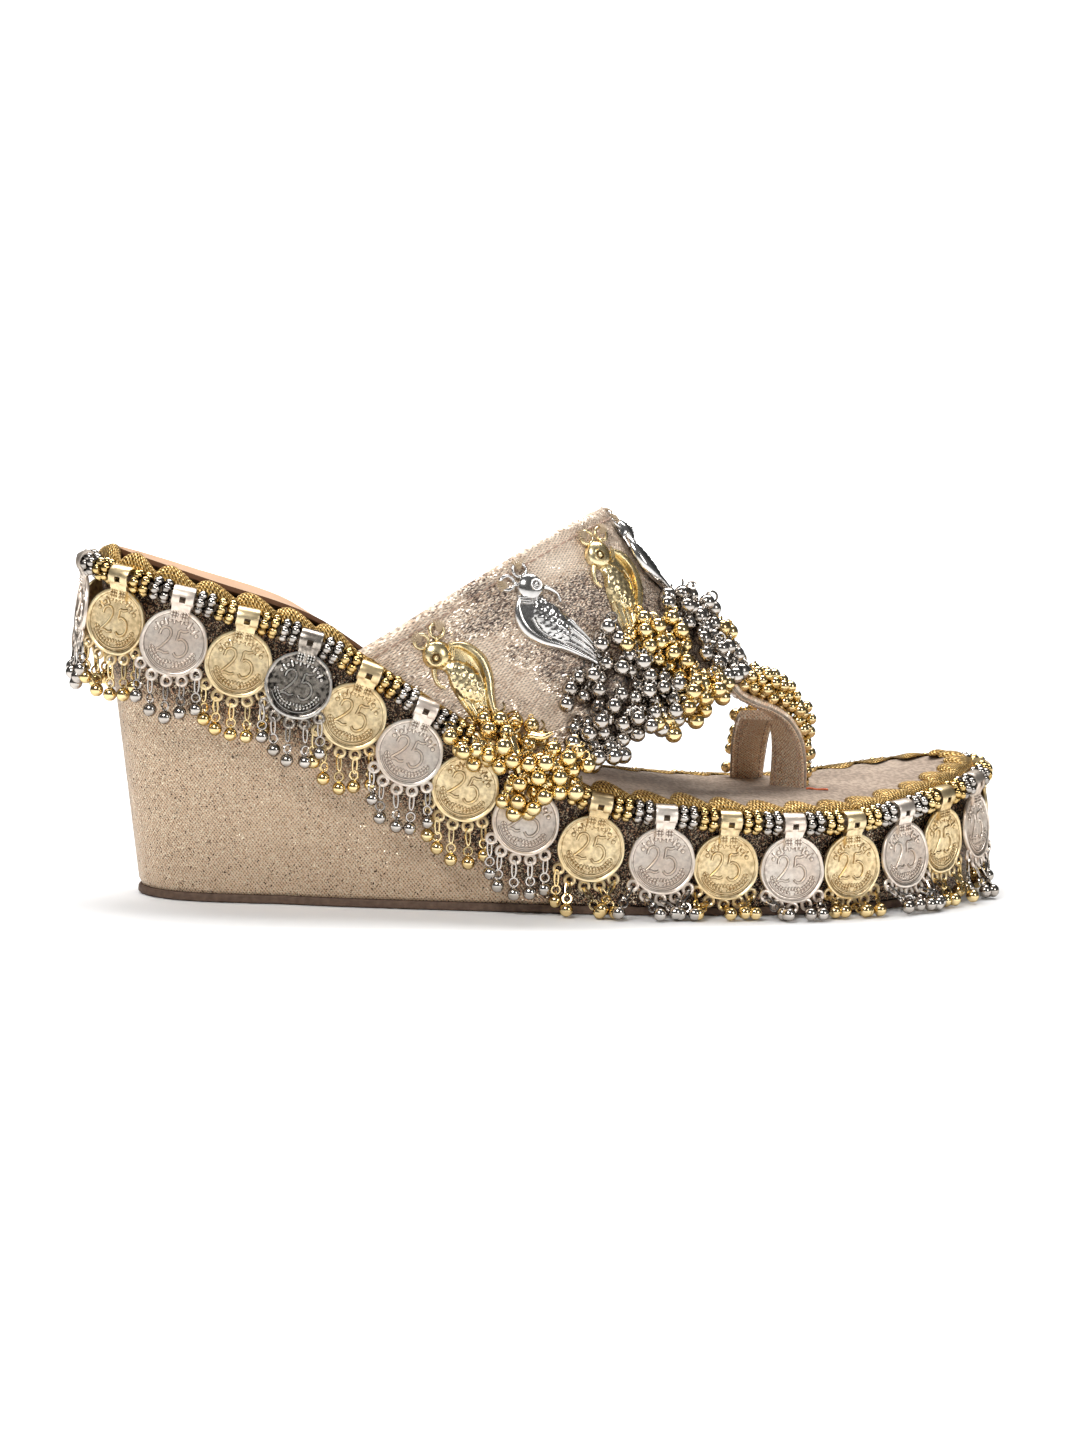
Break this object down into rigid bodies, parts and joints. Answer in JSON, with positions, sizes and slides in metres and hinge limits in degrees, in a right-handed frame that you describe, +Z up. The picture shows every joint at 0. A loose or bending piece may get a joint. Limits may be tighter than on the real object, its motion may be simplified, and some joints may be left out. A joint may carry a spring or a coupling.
{
  "type": "platform wedge toe-loop slide",
  "caption": "Right-foot platform wedge slide with a vamp and toe loop, coins with bells hung round its rim, and bird charms on the vamp.",
  "frame": {"origin": "On the outsole's lower face, under the middle of the shoe, on the line from the heel to the ball.", "axes": "+X towards the toe, +Y towards the medial side, +Z up"},
  "size_m": [0.2636, 0.0979, 0.1071],
  "materials": {
    "sole_rubber": "matt brown sheet",
    "lurex_cloth": "beige twill with gold lurex thread",
    "suede": "greige suede",
    "pad_leather": "smooth tan leather",
    "glitter_lame": "rose-gold glitter lame",
    "gold_metal": "bright yellow plating",
    "silver_metal": "nickel plating, a little darkened"
  },
  "bodies": {
    "root": {"outsole": "sole_rubber", "wedge": "lurex_cloth", "insole": "suede", "heel_pad": "pad_leather", "upper": "glitter_lame", "bead_string": "gold_metal", "bird_charm_1": "gold_metal", "bird_charm_2": "silver_metal", "bird_charm_3": "gold_metal", "bird_charm_4": "silver_metal", "bird_charm_5": "gold_metal", "bird_charm_6": "silver_metal", "bird_charm_7": "gold_metal", "bell_bunch_1": "gold_metal", "bell_bunch_2": "silver_metal", "bell_bunch_3": "gold_metal", "bell_bunch_4": "silver_metal", "bell_bunch_5": "gold_metal", "bell_bunch_6": "silver_metal", "bell_bunch_7": "gold_metal", "toe_bells": "gold_metal"},
    "coin_01": {"coin_01": "silver_metal"},
    "coin_02": {"coin_02": "gold_metal"},
    "coin_03": {"coin_03": "silver_metal"},
    "coin_04": {"coin_04": "gold_metal"},
    "coin_05": {"coin_05": "silver_metal"},
    "coin_06": {"coin_06": "gold_metal"},
    "coin_07": {"coin_07": "silver_metal"},
    "coin_08": {"coin_08": "gold_metal"},
    "coin_09": {"coin_09": "silver_metal"},
    "coin_10": {"coin_10": "gold_metal"},
    "coin_11": {"coin_11": "silver_metal"},
    "coin_12": {"coin_12": "gold_metal"},
    "coin_13": {"coin_13": "silver_metal"},
    "coin_14": {"coin_14": "gold_metal"},
    "coin_15": {"coin_15": "silver_metal"},
    "coin_16": {"coin_16": "gold_metal"},
    "coin_17": {"coin_17": "silver_metal"},
    "coin_18": {"coin_18": "gold_metal"},
    "coin_19": {"coin_19": "silver_metal"},
    "coin_20": {"coin_20": "gold_metal"},
    "coin_21": {"coin_21": "silver_metal"},
    "coin_22": {"coin_22": "gold_metal"},
    "coin_23": {"coin_23": "silver_metal"},
    "coin_24": {"coin_24": "gold_metal"},
    "coin_25": {"coin_25": "silver_metal"},
    "coin_26": {"coin_26": "gold_metal"},
    "coin_27": {"coin_27": "silver_metal"},
    "coin_28": {"coin_28": "gold_metal"},
    "coin_29": {"coin_29": "silver_metal"},
    "coin_30": {"coin_30": "gold_metal"},
    "coin_31": {"coin_31": "silver_metal"},
    "coin_32": {"coin_32": "gold_metal"},
    "coin_33": {"coin_33": "silver_metal"},
    "coin_34": {"coin_34": "gold_metal"}
  },
  "joints": [
    {"name": "coin_01_swing", "type": "hinge", "parent": "root", "child": "coin_01", "pos_m": [-0.12582, -0.0015, 0.09094], "axis": [-0.0006, 1, 0.0002], "range_deg": [0, 60]},
    {"name": "coin_02_swing", "type": "hinge", "parent": "root", "child": "coin_02", "pos_m": [-0.11819, -0.01696, 0.08862], "axis": [-0.7415, 0.6321, 0.2249], "range_deg": [0, 60]},
    {"name": "coin_03_swing", "type": "hinge", "parent": "root", "child": "coin_03", "pos_m": [-0.10261, -0.02443, 0.08387], "axis": [-0.9268, 0.2433, 0.286], "range_deg": [0, 60]},
    {"name": "coin_04_swing", "type": "hinge", "parent": "root", "child": "coin_04", "pos_m": [-0.08556, -0.0277, 0.07875], "axis": [-0.9502, 0.1618, 0.2664], "range_deg": [0, 60]},
    {"name": "coin_05_swing", "type": "hinge", "parent": "root", "child": "coin_05", "pos_m": [-0.06873, -0.03146, 0.0733], "axis": [-0.9032, 0.22, 0.3685], "range_deg": [0, 60]},
    {"name": "coin_06_swing", "type": "hinge", "parent": "root", "child": "coin_06", "pos_m": [-0.05298, -0.03463, 0.06502], "axis": [-0.8443, 0.1411, 0.5169], "range_deg": [0, 60]},
    {"name": "coin_07_swing", "type": "hinge", "parent": "root", "child": "coin_07", "pos_m": [-0.03769, -0.03698, 0.0556], "axis": [-0.848, 0.1221, 0.5157], "range_deg": [0, 60]},
    {"name": "coin_08_swing", "type": "hinge", "parent": "root", "child": "coin_08", "pos_m": [-0.0224, -0.03915, 0.04617], "axis": [-0.853, 0.123, 0.5072], "range_deg": [0, 8]},
    {"name": "coin_09_swing", "type": "hinge", "parent": "root", "child": "coin_09", "pos_m": [-0.00658, -0.04163, 0.03773], "axis": [-0.889, 0.1453, 0.4342], "range_deg": [0, 8]},
    {"name": "coin_10_swing", "type": "hinge", "parent": "root", "child": "coin_10", "pos_m": [0.01003, -0.04411, 0.03104], "axis": [-0.9544, 0.1184, 0.2739], "range_deg": [0, 60]},
    {"name": "coin_11_swing", "type": "hinge", "parent": "root", "child": "coin_11", "pos_m": [0.02781, -0.04551, 0.02816], "axis": [-0.9952, 0.0402, 0.0889], "range_deg": [0, 60]},
    {"name": "coin_12_swing", "type": "hinge", "parent": "root", "child": "coin_12", "pos_m": [0.04584, -0.04566, 0.02653], "axis": [-0.9969, -0.024, 0.0749], "range_deg": [0, 60]},
    {"name": "coin_13_swing", "type": "hinge", "parent": "root", "child": "coin_13", "pos_m": [0.06389, -0.04469, 0.02573], "axis": [-0.9959, -0.0888, 0.0164], "range_deg": [0, 60]},
    {"name": "coin_14_swing", "type": "hinge", "parent": "root", "child": "coin_14", "pos_m": [0.08157, -0.04107, 0.02605], "axis": [-0.9452, -0.3204, -0.063], "range_deg": [0, 60]},
    {"name": "coin_15_swing", "type": "hinge", "parent": "root", "child": "coin_15", "pos_m": [0.09765, -0.03314, 0.02806], "axis": [-0.8367, -0.5295, -0.1398], "range_deg": [0, 60]},
    {"name": "coin_16_swing", "type": "hinge", "parent": "root", "child": "coin_16", "pos_m": [0.11222, -0.0227, 0.03058], "axis": [-0.7684, -0.6239, -0.1423], "range_deg": [0, 60]},
    {"name": "coin_17_swing", "type": "hinge", "parent": "root", "child": "coin_17", "pos_m": [0.12481, -0.01, 0.03301], "axis": [-0.5984, -0.7925, -0.1177], "range_deg": [0, 60]},
    {"name": "coin_18_swing", "type": "hinge", "parent": "root", "child": "coin_18", "pos_m": [0.13204, 0.00619, 0.03442], "axis": [-0.063, -0.9979, -0.012], "range_deg": [0, 60]},
    {"name": "coin_19_swing", "type": "hinge", "parent": "root", "child": "coin_19", "pos_m": [0.1294, 0.02363, 0.03391], "axis": [0.5154, -0.8511, 0.1], "range_deg": [0, 60]},
    {"name": "coin_20_swing", "type": "hinge", "parent": "root", "child": "coin_20", "pos_m": [0.11626, 0.03543, 0.03134], "axis": [0.8733, -0.4575, 0.1675], "range_deg": [0, 60]},
    {"name": "coin_21_swing", "type": "hinge", "parent": "root", "child": "coin_21", "pos_m": [0.09925, 0.04039, 0.02832], "axis": [0.9809, -0.1014, 0.1661], "range_deg": [0, 60]},
    {"name": "coin_22_swing", "type": "hinge", "parent": "root", "child": "coin_22", "pos_m": [0.08132, 0.04077, 0.02603], "axis": [0.9976, 0.0255, 0.0649], "range_deg": [0, 60]},
    {"name": "coin_23_swing", "type": "hinge", "parent": "root", "child": "coin_23", "pos_m": [0.06329, 0.03939, 0.02574], "axis": [0.9916, 0.1278, -0.0177], "range_deg": [0, 60]},
    {"name": "coin_24_swing", "type": "hinge", "parent": "root", "child": "coin_24", "pos_m": [0.04535, 0.03713, 0.02657], "axis": [0.9909, 0.1113, -0.0759], "range_deg": [0, 60]},
    {"name": "coin_25_swing", "type": "hinge", "parent": "root", "child": "coin_25", "pos_m": [0.0274, 0.03535, 0.0282], "axis": [0.992, 0.0888, -0.0893], "range_deg": [0, 60]},
    {"name": "coin_26_swing", "type": "hinge", "parent": "root", "child": "coin_26", "pos_m": [0.00964, 0.03389, 0.03115], "axis": [0.9572, 0.0689, -0.2812], "range_deg": [0, 60]},
    {"name": "coin_27_swing", "type": "hinge", "parent": "root", "child": "coin_27", "pos_m": [-0.00707, 0.03282, 0.03797], "axis": [0.8962, 0.0521, -0.4405], "range_deg": [0, 8]},
    {"name": "coin_28_swing", "type": "hinge", "parent": "root", "child": "coin_28", "pos_m": [-0.023, 0.03196, 0.04652], "axis": [0.8573, 0.0392, -0.5132], "range_deg": [0, 8]},
    {"name": "coin_29_swing", "type": "hinge", "parent": "root", "child": "coin_29", "pos_m": [-0.03839, 0.03143, 0.05603], "axis": [0.8551, 0.0252, -0.5179], "range_deg": [0, 60]},
    {"name": "coin_30_swing", "type": "hinge", "parent": "root", "child": "coin_30", "pos_m": [-0.0538, 0.03082, 0.06552], "axis": [0.8537, 0.0491, -0.5185], "range_deg": [0, 60]},
    {"name": "coin_31_swing", "type": "hinge", "parent": "root", "child": "coin_31", "pos_m": [-0.06983, 0.02938, 0.07374], "axis": [0.9253, 0.1101, -0.3628], "range_deg": [0, 60]},
    {"name": "coin_32_swing", "type": "hinge", "parent": "root", "child": "coin_32", "pos_m": [-0.08698, 0.02734, 0.07915], "axis": [0.9565, 0.1133, -0.2688], "range_deg": [0, 60]},
    {"name": "coin_33_swing", "type": "hinge", "parent": "root", "child": "coin_33", "pos_m": [-0.10385, 0.02345, 0.08426], "axis": [0.8997, 0.3376, -0.2767], "range_deg": [0, 60]},
    {"name": "coin_34_swing", "type": "hinge", "parent": "root", "child": "coin_34", "pos_m": [-0.11864, 0.01432, 0.08876], "axis": [0.6909, 0.6919, -0.2096], "range_deg": [0, 60]}
  ]
}
